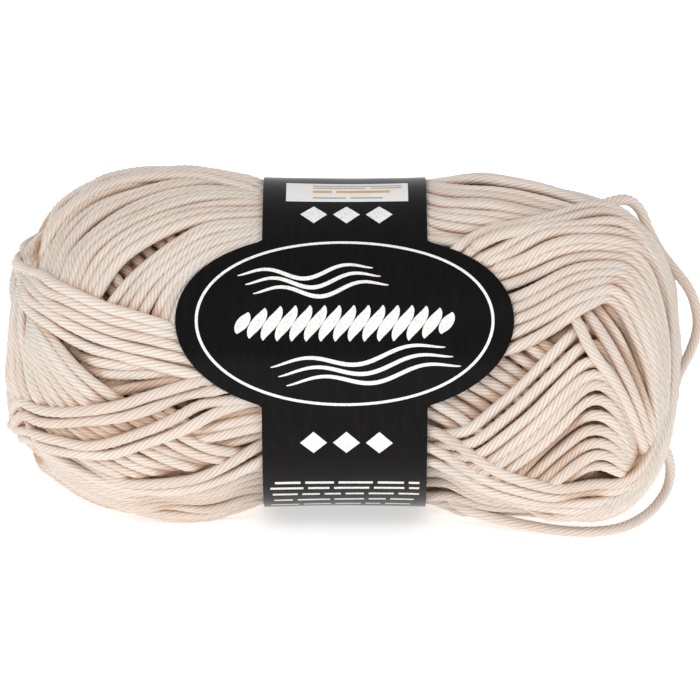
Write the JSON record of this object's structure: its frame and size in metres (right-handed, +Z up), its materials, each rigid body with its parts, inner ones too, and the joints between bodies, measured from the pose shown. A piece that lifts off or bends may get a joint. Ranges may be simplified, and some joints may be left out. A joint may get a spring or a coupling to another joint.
{
  "type": "ball of yarn",
  "caption": "Pull skein of thick cotton yarn with two rounded bulges, held at its waist by a paper band with an oval panel; rests on flat spots under the bulges.",
  "frame": {"origin": "on the table top, under the middle of the ball's box", "axes": "+X along the ball's long axis, +Y to the back, away from the oval panel, +Z up"},
  "size_m": [0.1172, 0.0656, 0.0599],
  "materials": {
    "cotton_yarn": "soft matt plied cotton",
    "coated_paper": "satin black coated paper with white print"
  },
  "bodies": {
    "root": {"yarn_ball": "cotton_yarn", "label_band": "coated_paper"}
  },
  "joints": []
}
